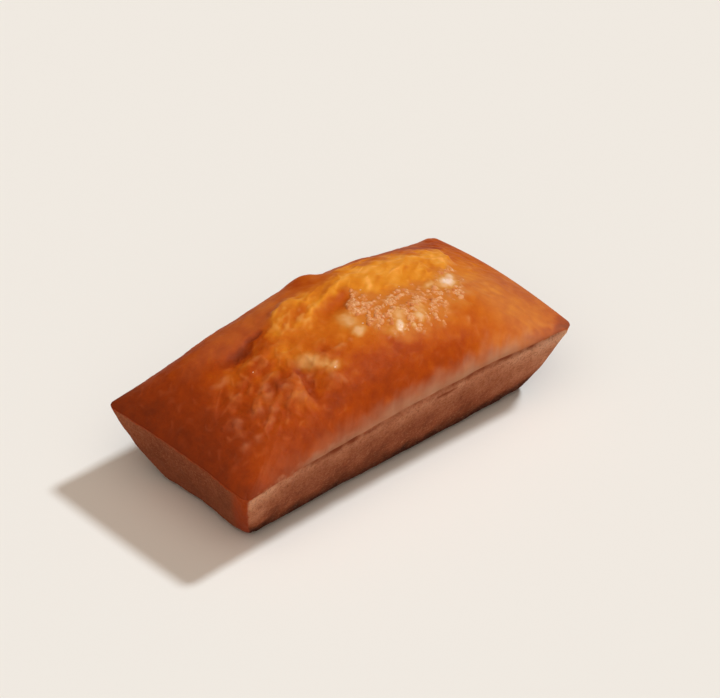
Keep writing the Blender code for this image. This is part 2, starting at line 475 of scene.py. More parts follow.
def cells(size, seed):
    """Grains of a size in millimetres: how domed each is at a vertex, and its number from -1 to 1."""
    domes, numbers = np.zeros(len(X)), np.zeros(len(X))
    for at, spot in enumerate(turned(0, (size, size, size), seed)):
        distances, middles = noise.voronoi(Vector(spot))
        domes[at] = distances[1] - distances[0]
        numbers[at] = noise.cell(middles[0] * NUMBER_SPREAD)
    return np.clip(domes * DOME_GAIN, 0, 1), numbers


print(len(X), "places to read noise at")


# %% [markdown]
# Some of it belongs in a patch, some between two outlines. A clean oval would look stuck on, so both
# are read at places that noise has shifted by a millimetre or so, which makes their edges uneven.

# %% Patches with uneven edges
edge_x = X + 0.9 * waves(3.5, 1) + 0.35 * waves(1.3, 2)
edge_y = Y + 0.9 * waves(3.5, 3) + 0.35 * waves(1.3, 4)


def patch(middle, reach, turn=0.0, edge=0.35):
    """1 inside an uneven oval and 0 outside, over an edge that is a share of its reach."""
    return smooth((1 + edge - reach_of(edge_x, edge_y, middle, reach, turn)) / (2 * edge)) * ON_TOP


def between(low, high, edge):
    """1 between two outlines, each a list of (x, y) from left to right, over an edge in millimetres."""
    floor_y = np.interp(edge_x, *zip(*low))
    roof_y = np.interp(edge_x, *zip(*high))
    inside = np.minimum(edge_y - floor_y, roof_y - edge_y)
    inside = np.minimum(inside, np.minimum(edge_x - low[0][0], low[-1][0] - edge_x))
    return smooth(0.5 + inside / edge) * ON_TOP


print("edges wander by up to", round(np.abs(edge_x - X).max(), 1), "mm")


# %% [markdown]
# ## The burst
# The oven sets the skin first, so the wet batter under it pushes up and tears through, back and right of
# the middle. The torn field stands a little proud, with a rolled lip at both ends, and at its left end
# the batter broke into soft granules. Its outline is a few points each for the front and the back, and
# the lips and folds are ridges along short bent lines.

# %% Outline the burst
BURST_LOW = (  # (x, y) in millimetres, from left to right
    (-15.5, 2.6), (-13, 0.6), (-8, 0), (-3, 2.2), (1.5, 4.2), (4.5, 3.2), (7, -0.8), (24, -1.0),
    (29.5, 1), (33, 5.4), (36.5, 11.0),
)
BURST_HIGH = (
    (-15.5, 3.2), (-11.4, 8.4), (-6.3, 10), (-3, 9.2), (3, 9.6), (8, 11), (12, 13.0), (18, 14.6),
    (30, 13.6), (36.5, 12.0),
)
PULLS = {  # points along the pull, half width, height
    "left lip": (((-11.4, 7.6), (-10.2, 8.9), (-6.0, 9.5), (-4.8, 7.8), (-4.0, 6.0)), 0.8, 0.30),
    "lower fold": (((-9.6, 1.4), (-5.1, 2.6), (-1.6, 3.8), (2.4, 5.4), (5.9, 6.8), (8.6, 7.8)), 0.7, 0.22),
    "edge of the trough": (((1.6, -1.8), (2.8, 0.4), (4.4, 2.6)), 0.8, 0.25),
    "back fold": (((9.4, 11.0), (13.4, 12.4), (17.4, 13.4)), 0.8, 0.2),
    "right lip": (((30.5, 4.2), (32.6, 6.0), (34.4, 8.5), (35.2, 11.3)), 0.9, 0.24),
    "middle fold": (((17, 5.0), (21, 5.9), (25, 7.6), (29, 8.2)), 0.8, 0.16),
    "crest fold": (((11, 6.5), (14, 8.2), (18, 9.2)), 1.0, 0.18),
}


def ridge(points, half_width):
    """1 along a bent line and 0 away from it."""
    nearest = np.full(len(X), np.inf)
    for (ax, ay), (bx, by) in zip(points, points[1:]):
        run = ((edge_x - ax) * (bx - ax) + (edge_y - ay) * (by - ay)) / ((bx - ax) ** 2 + (by - ay) ** 2)
        run = np.clip(run, 0, 1)
        off_x, off_y = edge_x - ax - run * (bx - ax), edge_y - ay - run * (by - ay)
        nearest = np.minimum(nearest, np.hypot(off_x, off_y))
    return np.exp(-((nearest / half_width) ** 2)) * ON_TOP


burst = between(BURST_LOW, BURST_HIGH, 3.0)
pulls = sum(height * ridge(points, half_width) for points, half_width, height in PULLS.values())
print("the burst covers", round(100 * burst[ON_TOP].mean()), "% of the top's vertices")


# %% [markdown]
# Wet batter is drawn into strings as it tears. Silk is noise drawn out five times along the pull. Strands
# are thin raised lines between the silk: they lie where another noise crosses zero, and a bell curve of
# that noise gives them their width.

# %% Tear the burst
PULL_TURN = 34  # degrees from the loaf's length, the way the batter was drawn
BURST_HEIGHT, SILK_HEIGHT, STRAND_HEIGHT, GRANULE_HEIGHT = 0.20, 0.11, 0.12, 0.20

granular = patch((-8.6, 4.4), (6.4, 4.8), 20, 0.6)
granules = smooth((waves(1.0, 5, long=1.6, turn=PULL_TURN) + 0.4 * waves(2.6, 7)) / 1.0)
silk = waves(1.1, 6, long=5, turn=PULL_TURN) * burst * (1 - 0.6 * granular)
strands = np.exp(-((waves(1.8, 48, long=3.5, turn=PULL_TURN) / 0.16) ** 2)) * burst * (1 - 0.5 * granular)
strands *= smooth(0.5 + 1.2 * waves(2.5, 49))
fine_relief = BURST_HEIGHT * burst + pulls + SILK_HEIGHT * silk + STRAND_HEIGHT * strands
fine_relief += GRANULE_HEIGHT * granular * granules
print("strands cover", round(100 * (strands[ON_TOP] > 0.5).mean(), 1), "% of the top's vertices")


# %% [markdown]
# ## The sugar crust
# In front of the burst the coarse sugar on the batter half melted and dried as a rough, pinkish crust of
# crumbs about a millimetre across. Where it lay thickest it set in pale clots with soft edges. The crumbs
# run into each other, so they are soft noise cut at a level, with cells for the ones that kept a shape.

# %% Scatter the crumbs
SUGAR_LOW = (
    (-0.8, -7), (2.5, -12.6), (8, -14.0), (14, -13.2), (19, -11.6), (24, -9.6), (28, -5.0), (32.0, 0.5),
)
SUGAR_HIGH = (
    (-0.8, -4), (1.5, -0.2), (5, 3.6), (7, 0.6), (10, -1.2), (14, 0.2), (20, -0.6), (24, 0.4), (29, 2.2),
    (32.0, 3.6),
)
CRUMB_COVER = 0.34  # how far below zero the noise may be and still be a crumb: over half of the crust
MELTED_HEIGHT, CRUMB_HEIGHT = 0.22, 0.20

zone = between(SUGAR_LOW, SUGAR_HIGH, 3.2)
melted = 0.7 * waves(1.9, 8, long=1.4, turn=PULL_TURN) + 0.6 * waves(0.9, 18)
melted = smooth((melted + zone - 1 + CRUMB_COVER) / 0.6) * zone
melted *= 0.45 + 0.55 * smooth((waves(3.4, 44, long=1.4, turn=PULL_TURN) + 0.4) / 0.6)
kept, kept_number = cells(1.2, 9)
kept *= smooth((kept_number + zone - 1.55) / 0.2)
crumbs_kept = 0.9 * smooth(kept / 0.8) * (0.4 + 0.6 * kept_number)
grains = np.clip(np.maximum(melted * (0.9 + 0.4 * waves(0.9, 18)), crumbs_kept), 0, 1)
fine_relief += MELTED_HEIGHT * melted + CRUMB_HEIGHT * kept
print("the sugar crust covers", round(100 * zone[ON_TOP].mean()), "% of the top's vertices")


# %% Set the clots
# Paleness near 1 gives a nearly white core, which is painted highlight on the pale sugar.
CLOTS = {  # middle, reach, turn, paleness
    "right": ((25.6, -2.4), (2.2, 1.5), 30, 1.0),
    "right tail": ((27.6, -0.8), (2.0, 1.0), 38, 0.70),
    "right glow": ((23.4, -3.0), (1.9, 1.5), 0, 0.42),
    "right smear": ((21.2, -2.1), (1.9, 0.8), 15, 0.50),
    "front": ((5.7, -10.6), (1.45, 0.85), 48, 0.88),
    "front tail": ((7.4, -8.5), (2.4, 1.3), 50, 0.48),
    "second front": ((11.1, -10.2), (1.4, 1.0), 35, 0.66),
    "second front tail": ((12.6, -8.6), (1.9, 1.4), 60, 0.42),
    "small front": ((8.3, -11.8), (0.6, 0.4), 0, 0.6),
    "front halo": ((3.6, -10.8), (1.6, 1.2), 0, 0.26),
    "middle": ((-1.6, -3.6), (1.8, 2.5), 0, 0.50),
    "second middle": ((-1.9, -7.2), (1.4, 1.3), 0, 0.60),
    "left": ((-14.2, -6.8), (2.9, 1.7), -58, 0.44),
    "left bridge": ((-12.4, -9.0), (1.8, 1.1), -50, 0.42),
    "left tail": ((-11.6, -10.7), (1.5, 1.1), 0, 0.46),
}
CLOT_HEIGHT = 0.30

clots = np.zeros(len(X))
ragged = 0.35 * waves(1.2, 2)
for middle, reach, turn, paleness in CLOTS.values():
    far = reach_of(X + ragged, Y + ragged, middle, reach, turn)
    clots = np.maximum(clots, paleness * np.exp(-(far**2.5) * 0.7) * ON_TOP)
clots *= 1 + 0.07 * waves(0.8, 19)
fine_relief += CLOT_HEIGHT * clots
print(len(CLOTS), "clots")


# %% [markdown]
# ## Wrinkles and pits
# Left of the middle the skin sank into pits while it was soft, and between them it bunched into buttery
# mounds and folds two to four millimetres across. Bunched skin makes sharp ridges between round valleys,
# and so does one minus the size of soft noise.

# %% Wrinkle the skin
PITS = {  # middle, reach, turn, edge, how deep
    "left": ((-22.0, 6.2), (3.4, 1.9), 14, 0.6, 0.36),
    "second left": ((-16.7, 6.9), (1.4, 1.1), 0, 0.4, 0.40),
    "between these": ((-19.2, 6.6), (2.0, 1.3), 10, 0.5, 0.25),
    "front": ((-17.4, -9.8), (1.2, 2.8), -12, 0.8, 0.28),
}
MOUND_HEIGHT = 0.22

wrinkled = patch((-22.5, -7.0), (12.5, 9.0), -8, 0.4)
folds = 1 - np.abs(waves(3.6, 10))
mounds = smooth((waves(1.7, 42, long=1.6, turn=PULL_TURN) + 0.1) / 0.9) * wrinkled
fine_relief += wrinkled * (0.20 * waves(2.4, 11) + 0.25 * (folds**3 - 0.4)) + MOUND_HEIGHT * mounds
fine_relief += 0.07 * wrinkled * waves(0.8, 45, long=1.6, turn=PULL_TURN)
for middle, reach, turn, edge, sunk in PITS.values():
    fine_relief -= sunk * patch(middle, reach, turn, edge)
print("wrinkles cover", round(100 * wrinkled[ON_TOP].mean()), "% of the top's vertices")


# %% Place the buds
BUDS = (  # small lumps: middle, reach, height
    ((-24.5, -5.0), 0.9, 0.26), ((-25.5, -7.2), 1.1, 0.26), ((-28.5, -8.0), 0.9, 0.2),
    ((-26.5, -9.8), 0.9, 0.22), ((-28.5, -10.9), 0.8, 0.2), ((-21.5, -8.4), 1.1, 0.32),
    ((-19.0, -9.3), 0.9, 0.3), ((-21.2, -11.6), 1.7, 0.32), ((-34.5, -12.0), 1.0, 0.15),
    ((-31.5, -12.5), 0.9, 0.15), ((-28.0, 3.0), 1.1, 0.16), ((-13.3, -12.8), 1.0, 0.3),
    ((26.5, -7.0), 1.4, 0.22), ((33.0, 4.7), 0.8, 0.22), ((30.6, 2.4), 0.7, 0.24),
    ((35.0, 2.0), 0.7, 0.2), ((28.6, -3.2), 0.7, 0.25), ((24.0, -6.1), 0.7, 0.28),
    ((22.0, -7.4), 0.6, 0.25), ((-11.4, 3.4), 0.6, 0.25), ((-7.6, -7.4), 0.7, 0.2),
    ((-5.0, -8.6), 0.6, 0.2), ((-16.2, -9.4), 0.6, 0.2), ((-32.6, -6.4), 1.1, 0.16),
    ((-20.6, 1.8), 0.9, 0.2), ((-18.2, -8.2), 0.6, 0.22), ((-12.2, -14.0), 0.7, 0.18),
    ((21.0, -13.6), 0.6, 0.2),
)

buds = np.zeros(len(X))
for middle, reach, height in BUDS:
    bud = np.exp(-reach_of(edge_x, edge_y, middle, (reach, reach), 0) ** 2) * ON_TOP
    fine_relief += height * bud
    buds = np.maximum(buds, bud)
print(len(BUDS), "buds")


# %% [markdown]
# ## Lines and streaks
# All over the top, thin raised lines lie the way the batter was drawn, made as the strands are. The front
# shoulder, which slid down the tin's wall as the cake rose, carries faint streaks that lean with the
# rise. The right end has a coarse grain across the loaf, and everything else a faint unevenness.

# %% Draw the lines
LINE_HEIGHT, STREAK_HEIGHT, END_GRAIN_HEIGHT = 0.12, 0.05, 0.05
STREAK_SIZE, STREAK_LENGTH = 1.0, 5  # from one streak of the shoulder to the next, and along it
STREAK_LEAN = 1.6  # how far a streak runs along the loaf for each millimetre across

lines = np.exp(-((waves(2.2, 40, long=2.0, turn=PULL_TURN) / 0.2) ** 2))
lines *= smooth(0.2 + 1.4 * waves(1.9, 41))
lines *= ON_TOP * smooth(RISE / 2) * (0.4 + 0.6 * wrinkled) * (1 - 0.6 * burst) * (1 - zone)
along_side = (np.abs(t) > np.abs(s)) * ON_TOP
shoulder = smooth((9.5 - RISE) / 5) * smooth(RISE / 1.2) * along_side
streak_places = zip((X - STREAK_LEAN * Y + 0.8 * waves(5, 22)) / STREAK_SIZE, Y / STREAK_LENGTH)
streaks = WAVE_GAIN * np.array([noise.noise(Vector((a, b, 3))) for a, b in streak_places]) * (T < 0)
right_end = smooth((X - 25) / 7) * ON_TOP * smooth(RISE)
grain_of_end = waves(1.1, 47, long=1.5, turn=-70)
fine_relief += LINE_HEIGHT * lines + STREAK_HEIGHT * shoulder * streaks
fine_relief += END_GRAIN_HEIGHT * right_end * grain_of_end
fine_relief += ON_TOP * (0.06 * waves(2.4, 12) + 0.035 * waves(1.0, 13)) * smooth(RISE / 1.5)
print("fine relief is", round(float(np.abs(fine_relief).max()), 2), "mm at most")


# %% [markdown]
# ## The fold under the rim
# Where the rising batter leaned over the tin's edge, a thin wavering fold was left under the rim of both
# long sides. It is deepest left and right of the middle, and in front a second short crack opened below
# it. At the front left, batter crept over the tin's edge and left a pale ragged lip on the rim.

# %% Fold the walls
FOLD_DEPTH, FOLD_RISE = 0.55, 0.15  # under the rim, and how much less so on the right
FOLD_WIDTH = 0.75  # half of it
FOLD_LINE = (  # place along, how deep a fold
    (-43, 0), (-29, 0), (-23, 0.9), (-13, 1.05), (-6, 0.5), (10, 0.5), (17, 0.9), (24, 1.05), (31, 0.9),
    (38, 0.6), (41, 0),
)
CRACK_AT, CRACK_REACH = 9.8, 2.4
CRACK_DEPTH, CRACK_WIDTH = 1.8, 0.45

long_wall = (LEVEL > 0) & (np.abs(T) > np.abs(S))
waver = 0.28 * waves(4, 20) + 0.12 * waves(1.3, 23)
fold_width = FOLD_WIDTH * (1 + 0.4 * waves(3, 24) + 0.1 * smooth((X - 12) / 12))
fold_depth = FOLD_DEPTH - FOLD_RISE * smooth((X - 4) / 12) + waver
fold = np.interp(X, *zip(*FOLD_LINE)) * np.exp(-(((depth - fold_depth) / fold_width) ** 2)) * long_wall
fold *= 0.9 + 0.45 * waves(2.2, 25)
crack = np.exp(-(((depth - CRACK_DEPTH - 0.5 * waver) / CRACK_WIDTH) ** 2))
crack *= np.exp(-(((X - CRACK_AT) / CRACK_REACH) ** 4)) * (long_wall & (T < 0))
fold = np.clip(np.maximum(fold, 1.2 * crack), 0, 1)
print("the fold is deepest at", round(float(X[fold.argmax()])), "mm along the loaf")


# %% Raise the lip
LIP_LINE = ((-41, 0), (-39, 1), (-26, 1), (-16, 0.5), (-8, 0))  # place along, how much of a lip

over_rim = (1 - np.abs(t)) * WIDTH / 2 / MM
lip = smooth((0.2 + 0.25 * waves(0.9, 27) + 0.1 * waves(2.8, 28) - over_rim) / 0.35) * (T < 0) * ON_TOP
lip *= np.interp(X, *zip(*LIP_LINE))
near_rim = np.exp(-((np.where(ON_TOP, over_rim, depth) / 1.6) ** 2))
fine_relief += 0.08 * lip - 0.08 * fold + 0.13 * near_rim * waves(5, 46)
print("the lip covers", int((lip > 0.5).sum()), "vertices")


# %% [markdown]
# ## Pores
# The walls baked against greased metal, so they are matte and finely porous: one cell in five has
# sunken edges, which read as pores. In front some larger pits, where bubbles met the tin, are placed one
# by one, and a ragged ledge stands out below the fold. With that all relief is known, and each vertex
# moves along its normal by its share, as a sculpting brush would move it.

# %% Pit the walls and sculpt
LEDGE_DEPTH, LEDGE_WIDTH = 1.4, 0.8
PORE_SIZE = 0.75
WALL_PITS = (  # place along the front, depth under the rim, reach
    (-33.0, 2.2, 0.45), (-31.0, 2.9, 0.35), (-28.5, 1.7, 0.3), (-37.0, 3.4, 0.3), (3.0, 2.6, 0.3),
    (22.0, 3.0, 0.3), (-24.0, 2.0, 0.3), (-12.0, 2.4, 0.35), (-5.0, 1.9, 0.3), (33.0, 2.6, 0.3),
)
PIT_DEPTH = 0.5

on_wall = (LEVEL > 0) * smooth(depth / 0.5) * smooth((RIM_HEIGHT / MM - depth) / 1.5)
ledge = np.exp(-(((depth - LEDGE_DEPTH - 0.5 * waver) / LEDGE_WIDTH) ** 2)) * long_wall
pores, pore_number = cells(PORE_SIZE, 15)
wall_relief = 0.10 * waves(3.0, 16) + 0.05 * waves(1.0, 17) - 0.10 * (1 - pores) * (pore_number > 0.6)
wall_relief += 0.20 * ledge * (0.8 + 0.6 * waves(1.2, 26))
for along, under, reach in WALL_PITS:
    pit = np.exp(-(((X - along) ** 2 + (depth - under) ** 2) / reach**2))
    wall_relief -= PIT_DEPTH * pit * (long_wall & (T < 0))
fine_relief += on_wall * wall_relief

final = PLACES + column("normal") * fine_relief[:, None]
final[LEVEL == 1] = PLACES[LEVEL == 1]
block.vertices.foreach_set("co", (final * MM).ravel().astype(np.float32))
block.update()
print("the cake is now", [round(side, 1) for side in np.ptp(final, axis=0)], "mm")


# %% [markdown]
# ## How brown each spot is, and the light painted on it
# Crust colour is mostly one thing: how far the oven browned the sugars and proteins of the skin, from
# straw gold through amber to mahogany. So one number, the browning, is kept at each vertex and one ramp
# turns it into colour. It falls along the loaf, because the left end sat in the hottest corner, and single
# spots are made browner or paler one by one. The same number carries painted light too: pits, hollows and
# the trough are made darker as painted shade, and lumps, lips, lines and strands that stand proud are made
# paler as painted highlight.

# %% Brown the top, with painted shade and highlight
BROWNING_ALONG = (  # place along, browning
    (-42, 0.97), (-38, 0.92), (-35, 0.85), (-31, 0.76), (-26, 0.69), (-20, 0.65), (-10, 0.62),
    (0, 0.60), (12, 0.57), (22, 0.50), (29, 0.42), (36, 0.43), (41, 0.52),
)
BROWNER_AND_SHADED = {  # middle, reach, turn, edge, change: paler where it is below zero
    "bump left of the pit": ((-26.8, 3.2), (3.2, 3.6), 0, 0.6, -0.06),
    # The lip of the pit is paler as painted highlight.
    "lip of the pit": ((-21.5, 2.6), (2.0, 1.5), 0, 0.5, -0.12),
    "gold by the lip": ((-16.6, -0.4), (3.0, 2.6), 0, 0.6, -0.16),
    "under the burst": ((-8.0, -2.4), (8.5, 3.8), 0, 0.6, -0.14),
    # The pits, the space between them, the front pit and the hollow are darker as painted shade.
    "left pit": ((-22.0, 6.2), (3.4, 2.0), 14, 0.6, 0.12),
    "second left pit": ((-16.8, 6.9), (1.5, 1.3), 0, 0.4, 0.17),
    "between the left pits": ((-19.4, 6.6), (2.4, 1.5), 10, 0.5, 0.12),
    "front pit": ((-17.4, -9.6), (1.5, 4.2), -12, 0.5, 0.16),
    "hollow": ((-22.0, -6.5), (2.4, 2.0), 0, 0.5, 0.08),
    "front belly": ((-5.0, -14.8), (9.0, 3.0), 0, 0.6, 0.03),
    "front shoulder": ((-2.0, -18.5), (27.0, 4.0), 0, 0.4, 0.10),
    "back right corner": ((36.0, 17.0), (7.0, 4.5), 0, 0.6, 0.18),
    "back right shoulder": ((26.0, 15.0), (9.0, 3.4), -8, 0.5, 0.24),
    "front right tip": ((41.5, -19.5), (3.0, 2.5), 0, 0.6, 0.25),
    "front right rim": ((35.0, -20.6), (7.0, 1.3), 0, 0.6, 0.20),
    "dark by the clots": ((-9.5, -7.0), (2.0, 2.5), 0, 0.6, 0.06),
    "trough": ((1.5, 2.0), (4.5, 2.2), 10, 0.6, -0.06),
    "around the middle clots": ((-2.0, -7.0), (5.0, 4.0), 0, 0.7, -0.14),
    "right end": ((40.0, 10.0), (4.0, 9.0), 0, 0.6, 0.02),
    "back left of the burst": ((-10.0, 13.5), (7.0, 3.0), 0, 0.6, -0.06),
    "front left corner": ((-36.5, -16.5), (5.0, 3.5), 0, 0.6, -0.12),
    "right of the sugar": ((32.5, -2.0), (3.0, 4.0), 0, 0.7, -0.06),
}

browning_and_painted_light = np.interp(X + 1.5 * waves(6, 30), *zip(*BROWNING_ALONG))
for middle, reach, turn, edge, change in BROWNER_AND_SHADED.values():
    browning_and_painted_light += change * patch(middle, reach, turn, edge)
print(len(BROWNER_AND_SHADED), "spots are browner or paler than their surroundings")


# %% [markdown]
# The burst opened last and stayed pale. On top of that its lips, ridges, strands and the tops of its
# granules are painted paler as highlight, and its trough and the gaps between granules are painted
# browner as shade. Its back slope is browner. Then the whole top is varied a little, because a real crust
# is never even, and the buds, lines and mounds that stand proud are painted paler as highlight.

# %% Brown the burst, with painted highlight and shade
BURST_BROWNING_AND_SHADE = {  # middle, reach, turn, edge, change
    # The trough is darker as painted shade in the valley.
    "trough": ((1.8, 2.3), (3.6, 1.8), 12, 0.5, 0.30),
    "behind the fold": ((1.0, 7.0), (3.5, 2.2), 0, 0.6, 0.12),
    "deep middle": ((6.0, 4.0), (3.0, 2.0), 0, 0.6, 0.10),
    "deep right": ((26.0, 2.2), (3.4, 2.4), 30, 0.6, 0.08),
    "crest": ((16.0, 6.5), (6.0, 3.4), 10, 0.7, -0.05),
    "back edge": ((7.0, 11.5), (5.0, 1.8), 25, 0.5, 0.18),
    "back slope": ((24.0, 13.4), (14.0, 3.6), 0, 0.5, 0.22),
    "left body": ((-9.0, 4.0), (5.0, 4.5), 20, 0.6, 0.05),
}
TORN_BROWNING = 0.23

# Strands are made paler as painted highlight.
torn = TORN_BROWNING + 0.09 * silk - 0.14 * strands + 0.06 * waves(2.6, 35, long=2.5, turn=PULL_TURN)
for middle, reach, turn, edge, change in BURST_BROWNING_AND_SHADE.values():
    torn += change * patch(middle, reach, turn, edge)
# Granule tops paler and the gaps between them browner, and the lips and ridges paler: painted highlight
# and shade.
torn += granular * (0.13 - 0.18 * granules) - 0.40 * np.clip(pulls, 0, 1)
browning_and_painted_light += (torn - browning_and_painted_light) * burst
calm = 1 - 0.6 * smooth((-26 - X) / 6)  # the left end browned evenly
browning_and_painted_light += calm * (0.05 * waves(5, 31) + 0.05 * waves(1.8, 32, long=1.8, turn=50))
# Buds, lines and mounds are made paler as painted highlight.
browning_and_painted_light += 0.05 * right_end * grain_of_end - 0.10 * buds - 0.09 * lines - 0.07 * mounds
print("browning of the top:", browning_and_painted_light[ON_TOP].min().round(2), "to", browning_and_painted_light[ON_TOP].max().round(2))


# %% [markdown]
# ## How brown the walls are, and the shade on them
# The walls took their heat from the metal, so they have a number of their own, the tone. The long sides
# are palest under the rim and darkest at the foot, and the ends are darker at the foot too. This darkening
# towards the table is partly a browner foot and partly painted shade, where the wall curls under and gets
# little light. They grow paler towards the right end, and in front also at the very left. Above the foot
# the ends are nearly even.

# %% Brown the walls, with painted shade at the foot
# The rise of the tone towards the foot is partly painted shade, where the wall curls under.
TONE_AND_FOOT_SHADE_BY_HEIGHT = (  # of the long sides: millimetres above the table, tone
    (0, 1.0), (2.9, 0.98), (3.7, 0.92), (4.6, 0.86), (5.5, 0.79), (6.6, 0.74), (8.7, 0.69), (12, 0.61),
    (14.4, 0.49), (16, 0.40),
)
# The ends' darker foot is partly painted shade too.
END_TONE_AND_FOOT_SHADE_BY_HEIGHT = ((0, 0.84), (3, 0.72), (6, 0.73), (10, 0.76), (14, 0.74), (16.5, 0.70))
PALER_RIGHT, PALER_CORNER, PALER_BACK_OF_ENDS = 0.28, 0.20, 0.12
END_UNEVENNESS = 0.4  # of the ends, as a share of the long sides'
LIP_TONE = 0.42  # on the top, where the tone shows only in the lip

tone_and_foot_shade = np.where(long_wall, np.interp(Z, *zip(*TONE_AND_FOOT_SHADE_BY_HEIGHT)), np.interp(Z, *zip(*END_TONE_AND_FOOT_SHADE_BY_HEIGHT)))
tone_and_foot_shade -= PALER_RIGHT * smooth((X - 14) / 26) * long_wall * smooth((Z - 3.5) / 4)
tone_and_foot_shade -= PALER_CORNER * smooth((-32 - X) / 6) * (long_wall & (T < 0)) * smooth((Z - 4) / 3)
tone_and_foot_shade -= PALER_BACK_OF_ENDS * smooth((Y - 6) / 10) * smooth((Z - 8) / 5) * ~long_wall
tone_and_foot_shade += np.where(long_wall, 1, END_UNEVENNESS) * (0.07 * waves(4, 36) + 0.05 * waves(1.2, 37))
tone_and_foot_shade = np.where(ON_TOP, LIP_TONE, tone_and_foot_shade)
print("tone of the walls:", tone_and_foot_shade[~ON_TOP].min().round(2), "to", tone_and_foot_shade[~ON_TOP].max().round(2))


# %% [markdown]
# ## Where the glossy crust ends
# The crust laps over the rim unevenly, a little further at the corners and the ends, and below that the
# wall is matte. Only down the upright edge at the front left, where the tin's seam let fat through, does
# the gloss reach the foot, mostly on the end's side of it.

# %% Lap the crust over the rim
EDGE_ON_SIDE, EDGE_ON_END = 0.1, 2.4  # width of the glossy edge on the long side and on the end
NO_EDGE = -0.7
EDGE_FADE, EDGE_FADE_ON_END = 0.8, 2.6

wall_width = np.where(np.abs(T) > np.abs(S), LENGTH / 2, WIDTH / 2) / MM
from_corner = (1 - np.minimum(np.abs(s), np.abs(t))) * wall_width
lap = 0.1 + 0.8 * np.exp(-((from_corner / 1.8) ** 2)) + 0.3 * waves(1.1, 33) + np.where(long_wall, 0, 0.35)
at_front_left = (S < 0) & (T < 0)
glossy_edge = np.where(at_front_left, np.where(long_wall, EDGE_ON_SIDE, EDGE_ON_END), NO_EDGE)
edge_fade = np.where(at_front_left & (np.abs(S) > np.abs(T)), EDGE_FADE_ON_END, EDGE_FADE)
matte_wall = (LEVEL > 0) * smooth((depth - lap) / 0.5 + 0.5)
matte_wall *= smooth((from_corner - glossy_edge + 0.3 * waves(1.3, 34)) / edge_fade)
matte_wall = np.maximum(matte_wall, 0.7 * lip)
browning_of_lap = 0.76 - 0.30 * smooth((X - 10) / 20) + 0.10 * smooth(depth / 12)
browning_and_painted_light = np.where(ON_TOP, browning_and_painted_light, browning_of_lap)
print("the matte wall covers", round(100 * matte_wall[LEVEL > 0].mean()), "% of the walls' vertices")


# %% [markdown]
# ## The dull veil, and painted highlights
# Low on the long shoulders, right of the middle, the skin stayed in touch with the tin and dried to a
# dull rosy tan. In front a strip of it runs on to the left just above the fold. Fainter touches of the
# same veil lie on the right end and behind the left pit. On everything that stands proud of the skin,
# the buds, lines, mounds and granules, the same rosy tan is painted highlight.

# %% Dull the shoulders and paint the highlights
VEIL_ALONG = (  # place along, strength
    (-42, 0), (-34, 0.15), (-22, 0.3), (-12, 0.65), (0, 1.0), (8, 1.05), (24, 1.1), (30, 0.6), (42, 0.2),
)
VEIL_RISE, VEIL_FADE = 5.6, 7.5  # how far up the shoulder it reaches, and over what height it fades
PALE_RIM = ((-31, 0), (-25, 0.75), (-8, 0.8), (2, 0))  # the strip above the fold: place along, strength
PALE_RIM_RISE = 2.4

veil_and_painted_highlight = VEIL_RISE + 0.4 * streaks + 1.0 * waves(3.2, 38) + 0.5 * waves(1.4, 39, long=2, turn=60) - RISE
veil_and_painted_highlight = np.interp(X, *zip(*VEIL_ALONG)) * smooth(veil_and_painted_highlight / VEIL_FADE) * along_side
pale_rim = smooth((PALE_RIM_RISE + 0.5 * waves(1.4, 39) - RISE) / PALE_RIM_RISE)
# The touches on buds, lines, mounds and granules are painted highlight.
veil_touches_and_highlights = (
    np.interp(X, *zip(*PALE_RIM)) * pale_rim * along_side * (T < 0),
    0.17 * smooth((X - 24) / 8) * smooth((4 - Y) / 8) * ON_TOP,
    0.24 * buds,
    0.11 * lines + 0.08 * mounds,
    0.20 * granular * granules * burst,
    0.10 * patch((-16.0, 11.5), (13.0, 4.5)),
)
for touch in veil_touches_and_highlights:
    veil_and_painted_highlight = np.maximum(veil_and_painted_highlight, touch)
print("the veil covers", round(100 * veil_and_painted_highlight[ON_TOP].mean()), "% of the top's vertices")


# %% Keep the masks
MASKS = {
    "browning_and_painted_light": browning_and_painted_light, "tone_and_foot_shade": tone_and_foot_shade, "matte_wall": matte_wall, "veil_and_painted_highlight": veil_and_painted_highlight, "fold": fold,
    "grains": grains, "sugar": zone, "clots": clots,
}
for name, values in MASKS.items():
    block.attributes.new(name, "FLOAT", "POINT").data.foreach_set("value", values.astype(np.float32))
print(len(MASKS), "masks")


# %% [markdown]
# ## Baked crust
# The skin of a butter cake is browned protein and sugar with butter baked into it: not a lacquer, but a
# dense skin with a soft gloss, a little light scattering under it, and fine uneven grain. The walls have
# the same stuff without the gloss, because they were pressed against metal and are all small pores.
# The masks come in through Attribute nodes, and the colours are laid over each other from the bottom up.
# On a Mix node of colours, sockets 6 and 7 are the two colours, and output 2 is the result.

# %% Colour the skin
MOTTLE_SIZE, SPECKLE_SIZE = 1.4 * MM, 0.45 * MM
UNEVENNESS = 0.07  # how far mottling moves the browning, either way

